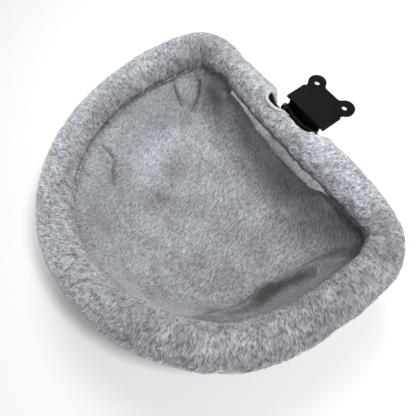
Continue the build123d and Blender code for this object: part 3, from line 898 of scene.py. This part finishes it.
# Creases: points along each as (x, y, z, strength), half width and depth
creases = [
    {"width": 0.0028, "depth": 0.0055, "line": [
        (-0.1873, -0.1033, -0.0472, 0.9), (-0.1838, -0.1030, -0.0668, 1.0), (-0.1760, -0.1002, -0.0898, 0.8),
    ]},
    {"width": 0.0028, "depth": 0.0050, "line": [
        (-0.1743, -0.0628, -0.0499, 0.9), (-0.1666, -0.0711, -0.0777, 1.0), (-0.1641, -0.0884, -0.0977, 0.8),
    ]},
    {"width": 0.0028, "depth": 0.0040, "line": [
        (-0.1582, -0.2560, -0.0458, 0.7), (-0.1508, -0.2498, -0.0765, 1.0),
    ]},
    {"width": 0.0045, "depth": 0.0028, "line": [
        (-0.1468, -0.2520, -0.0833, 0.8), (-0.1229, -0.2729, -0.0995, 0.6),
    ]},
]
# Soft bulges and hollows: middle, radius and height
bulges = [
    ((-0.177, -0.084, -0.070), 0.017, 0.0055), ((-0.161, -0.103, -0.109), 0.018, -0.0040),
    ((-0.105, -0.167, -0.126), 0.022, -0.0035), ((-0.066, -0.225, -0.127), 0.030, -0.0040),
    ((-0.010, -0.190, -0.128), 0.028, 0.0025), ((-0.130, -0.150, -0.120), 0.020, 0.0030),
]
# The roll of cloth that leans in from the near wall: its crest as (x, y, z, strength), how far it slopes on
# both sides, the groove at its inner foot and the painted shade on the side behind it
roll = {
    "crest": [
        (0.1934, -0.0864, -0.0376, 0.2), (0.1767, -0.0970, -0.0866, 0.7), (0.1663, -0.1209, -0.1100, 1.0),
        (0.1564, -0.1510, -0.1200, 1.0), (0.1549, -0.1844, -0.1168, 1.0), (0.1597, -0.2123, -0.0986, 0.9),
        (0.1544, -0.2407, -0.0811, 0.8), (0.1431, -0.2622, -0.0753, 0.6), (0.1397, -0.2729, -0.0604, 0.4),
    ],
    "height": 0.011, "outside": 0.022, "inside": 0.0070, "wobble": 0.003, "wobbleWide": 0.02,
    "groove": 0.0035, "grooveAway": 0.0155, "grooveWide": 0.0065,
    "behindAway": 0.016, "behindWide": 0.014, "behindShade": 0.76,
}
# Spots of painted shade, in hollows, in the back corners and beside the roll: middle, radius and share taken
# off
shadeSpots = [
    ((-0.105, -0.167, -0.126), 0.020, 0.30), ((-0.130, -0.140, -0.120), 0.014, 0.16),
    ((-0.066, -0.225, -0.127), 0.026, 0.34), ((-0.027, -0.189, -0.128), 0.018, 0.16),
    ((-0.161, -0.103, -0.109), 0.014, 0.34), ((-0.135, -0.262, -0.098), 0.016, 0.16),
    ((0.190, -0.056, -0.045), 0.046, 0.50), ((0.158, -0.180, -0.115), 0.018, 0.42),
    ((0.157, -0.205, -0.107), 0.016, 0.42), ((0.130, -0.262, -0.100), 0.012, 0.35),
    ((-0.140, -0.050, -0.060), 0.032, 0.55),
]
# How much darker the bag is painted: evenly over the whole, with painted shade more towards +X, painted light
# on the left wall, and painted shade at the seam and in creases
bagToneAndShade = {
    "all": 0.31, "right": 0.14, "rightFrom": (-0.03, 0.13),
    "left": 0.31, "leftTo": (-0.168, -0.100), "leftBack": (-0.085, -0.060),
    "seam": 0.55, "seamDown": 0.085, "crease": 0.6, "deepest": 0.8,
}


def bagRow(row):
    # Loop of one row: the side follows a quarter ellipse, the floor runs in to a point
    if row <= bag["sideRows"]:
        lean = math.pi / 2 * row / bag["sideRows"]
        inset = bag["topInset"] + (1 - math.cos(lean)) * (bag["floorInset"] - bag["topInset"])
        corner = bag["topCorner"] + math.sin(lean) * (bag["floorCorner"] - bag["topCorner"])
        loop = outlineLoop(inset, corner, bag["around"])
        return np.column_stack([loop, np.full(len(loop), bag["topZ"] - math.sin(lean) * bag["depth"])])
    share = (row - bag["sideRows"]) / bag["floorRows"]
    edge = outlineLoop(bag["floorInset"], bag["floorCorner"], bag["around"])
    middle = edge.mean(axis=0)
    loop = middle + (edge - middle) * (1 - share)
    height = bag["topZ"] - bag["depth"] - bag["dish"] * math.sin(share * math.pi / 2)
    return np.column_stack([loop, np.full(len(loop), height)])


def tuckUnderRim(loops):
    # The wall's upper edge flares out and follows the rim's form, so that it stays hidden in it
    share = np.arange(bag["around"]) / bag["around"]
    shift, change = formAt(share)
    follow = np.clip(shift - change, *bag["tuck"])[:, None]
    outward = ringFrame(bag["around"])[1]
    for row in range(bag["sideRows"]):
        down = row / bag["sideRows"]
        flare = bag["flare"] * (1 - smoothStep(*bag["flareFade"], down))
        loops[row, :, :2] += outward * (flare + follow * (1 - smoothStep(*bag["tuckFade"], down)))


def unrolled(loops):
    # Places on the flat cloth: each column keeps its direction, with its length measured over the wall
    steps = np.linalg.norm(np.diff(loops, axis=0), axis=2)
    inward = np.concatenate([np.cumsum(steps[::-1], axis=0)[::-1], np.zeros((1, loops.shape[1]))])
    across = loops[0, :, :2] - loops[-1, :, :2]
    across /= np.linalg.norm(across, axis=1)[:, None]
    return inward[..., None] * across[None]


def buildBag():
    rows = bag["sideRows"] + bag["floorRows"]
    bpy.ops.mesh.primitive_grid_add(x_subdivisions=bag["around"], y_subdivisions=rows, size=1)
    cloth = bpy.context.object
    points = readPoints(cloth)
    column = np.round((points[:, 0] + 0.5) * bag["around"]).astype(int) % bag["around"]
    row = np.round((0.5 - points[:, 1]) * rows).astype(int)
    loops = np.stack([bagRow(index) for index in range(rows + 1)])
    tuckUnderRim(loops)
    writePoints(cloth, loops[row, column])
    writeShare(cloth, "down", row / rows)
    flat = unrolled(loops)[row, column]
    layer = cloth.data.attributes.new("flatPlace", "FLOAT_VECTOR", "POINT")
    layer.data.foreach_set("vector", np.column_stack([flat, np.zeros(len(flat))]).ravel())
    selectOnly(cloth)
    bpy.ops.object.mode_set(mode="EDIT")
    bpy.ops.mesh.select_all(action="SELECT")
    bpy.ops.mesh.remove_doubles(threshold=bag["weld"])
    bpy.ops.mesh.normals_make_consistent(inside=True)
    bpy.ops.object.mode_set(mode="OBJECT")
    return cloth


def nearLine(points, line):
    # Distance to a broken line, the nearest place on it, and the strength there
    line = np.array(line)
    least = np.full(len(points), np.inf)
    nearest, strength = np.zeros_like(points), np.zeros(len(points))
    for start, end in zip(line[:-1], line[1:]):
        run = end[:3] - start[:3]
        along = np.clip((points - start[:3]) @ run / (run @ run), 0, 1)
        place = start[:3] + along[:, None] * run
        away = np.linalg.norm(points - place, axis=1)
        closer = away < least
        least[closer] = away[closer]
        nearest[closer] = place[closer]
        strength[closer] = (start[3] + along * (end[3] - start[3]))[closer]
    return least, nearest, strength


def smoothLine(line, count=40):
    # A quadratic B-spline through the neighbourhood of the given points
    line = np.array(line)
    line = np.concatenate([line[:1], line, line[-1:]])
    spots = np.linspace(0, len(line) - 2 - 1e-6, count)
    first = spots.astype(int)
    part = (spots - first)[:, None]
    weights = ((1 - part) ** 2 / 2, 0.5 + part * (1 - part), part ** 2 / 2)
    return sum(weight * line[first + step] for step, weight in enumerate(weights))


def spotSum(points, spots):
    # Soft round spots, each as (middle, radius, height)
    total = np.zeros(len(points))
    for middle, radius, height in spots:
        total += height * np.exp(-(np.linalg.norm(points - middle, axis=1) / radius) ** 2)
    return total


def creaseShape(points):
    # Height and shade of all the creases
    height, shade = np.zeros(len(points)), np.zeros(len(points))
    for crease in creases:
        away, _, strength = nearLine(points, smoothLine(crease["line"]))
        line = strength * np.exp(-(away / crease["width"]) ** 2)
        height -= line * crease["depth"]
        shade = np.maximum(shade, bagToneAndShade["crease"] * line)
    return height, shade


def rollShape(points):
    # Height and shade of the roll; side is the distance from its crest, positive towards the wall
    away, nearest, strength = nearLine(points, smoothLine(roll["crest"]))
    middle = np.array(bag["middle"])
    outer = np.linalg.norm(points[:, :2] - middle, axis=1) > np.linalg.norm(nearest[:, :2] - middle, axis=1)
    side = np.where(outer, away, -away)
    side += noiseAt(points, roll["wobbleWide"], seed=13) * roll["wobble"]
    crest = np.exp(-(side / np.where(side > 0, roll["outside"], roll["inside"])) ** 2)
    groove = np.exp(-((side + roll["grooveAway"]) / roll["grooveWide"]) ** 2)
    behind = np.exp(-((side - roll["behindAway"]) / roll["behindWide"]) ** 2) * (side > 0)
    height = strength * (crest * roll["height"] - groove * roll["groove"])
    return height, roll["behindShade"] * strength * behind


def bagToneAndPaintedLight(points):
    # Even darkening of the cloth, painted light on the left wall and painted shade towards +X
    leftWall = 1 - smoothStep(*bagToneAndShade["leftTo"], points[:, 0])
    leftWall *= 1 - smoothStep(*bagToneAndShade["leftBack"], points[:, 1])
    right = smoothStep(*bagToneAndShade["rightFrom"], points[:, 0])
    return bagToneAndShade["all"] + bagToneAndShade["right"] * right - bagToneAndShade["left"] * leftWall


def foldBag(cloth):
    points, normals, down = readPoints(cloth), readNormals(cloth), readShare(cloth, "down")
    creaseHeight, creaseShade = creaseShape(points)
    rollHeight, rollShade = rollShape(points)
    wave = noiseAt(points, bag["waveWide"], seed=11) * bag["waveHeight"]
    fine = noiseAt(points, bag["fineWide"], seed=12) * bag["fineHeight"]
    height = wave + fine + spotSum(points, bulges) + creaseHeight + rollHeight
    # Painted shade in the creases, behind the roll, in the spots and along the seam
    shade = np.maximum(creaseShade, rollShade) + spotSum(points, shadeSpots)
    shade += bagToneAndShade["seam"] * np.exp(-(down / bagToneAndShade["seamDown"]) ** 2)
    loose = smoothStep(*bag["looseFrom"], down)
    writePoints(cloth, points + normals * (height * loose)[:, None])
    writeShare(cloth, "toneAndPaintedShade", 1 - (1 - bagToneAndPaintedLight(points)) * (1 - np.clip(shade, 0, bagToneAndShade["deepest"])))


def makeBag():
    cloth = buildBag()
    subdivide(cloth, bag["levels"])
    foldBag(cloth)
    shell = cloth.modifiers.new("Solidify", "SOLIDIFY")
    shell.thickness = bag["thick"]
    shell.offset = -1
    applyModifiers(cloth)
    return cloth


bagShell = makeBag()
bagMaterial = plushMaterial("bagPlush", plushLooks["bag"], source="flatPlace", shade="toneAndPaintedShade")
bagPanels = ("bag_back_panel", "bag_side_panel", "bag_floor")
finishPiece(bagShell, "bagShell", "hammock", bagMaterial, *bagPanels, slot="plush_bag")
print("bag made")


# Free edge of lining inside the straight side: it hangs down by ends, and by sag more at sagPlace; its top
# and its two ends are tucked under the rim
hem = {
    "length": 0.220, "ends": 0.0045, "sag": 0.0085, "sagPlace": 0.030, "sagWide": 0.055, "thick": 0.0018,
    "columns": 150, "rows": 8, "levels": 1, "wave": 0.0026, "waveWide": 0.022, "edgeWave": 0.0024,
    "lean": 0.0020, "tuck": 0.0085, "leftEnd": (-0.090, -0.025), "rightEnd": (0.082, 0.109),
    "endTuck": 0.0095, "flatHeight": 0.0158, "area": 0.00290,
}


def makeHem():
    low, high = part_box("hem_flap")
    middle = (low + high) / 2
    bpy.ops.mesh.primitive_grid_add(x_subdivisions=hem["columns"], y_subdivisions=hem["rows"], size=1)
    strip = bpy.context.object
    flat = readPoints(strip)
    x = flat[:, 0] * hem["length"]
    down = 0.5 - flat[:, 1]
    places = np.stack([x, np.zeros_like(x), np.zeros_like(x)], axis=1)
    reach = hem["ends"] + hem["sag"] * np.exp(-((x - hem["sagPlace"]) / hem["sagWide"]) ** 2)
    z = high.z - down * (reach + noiseAt(places, hem["waveWide"], seed=23) * hem["edgeWave"])
    y = middle.y + noiseAt(places, hem["waveWide"], seed=21) * hem["wave"] * down
    y += hem["tuck"] * (1 - down) ** 2 - hem["lean"] * down ** 2
    y += hem["endTuck"] * (1 - fadeBetween(x, hem["leftEnd"], hem["rightEnd"]))
    writePoints(strip, np.stack([x, y, z], axis=1))
    shell = strip.modifiers.new("Solidify", "SOLIDIFY")
    shell.thickness = hem["thick"]
    shell.offset = 0
    applyModifiers(strip)
    subdivide(strip, hem["levels"])
    return strip


strip = makeHem()
# The strip takes the darker copy of the bag's plush, painted shade
hemMaterial = plushMaterial("hemPlushShaded", plushLooks["hem"])
finishPiece(strip, "hemStrip", "hammock", hemMaterial, "hem_flap", slot="plush_bag")
print("hem made")
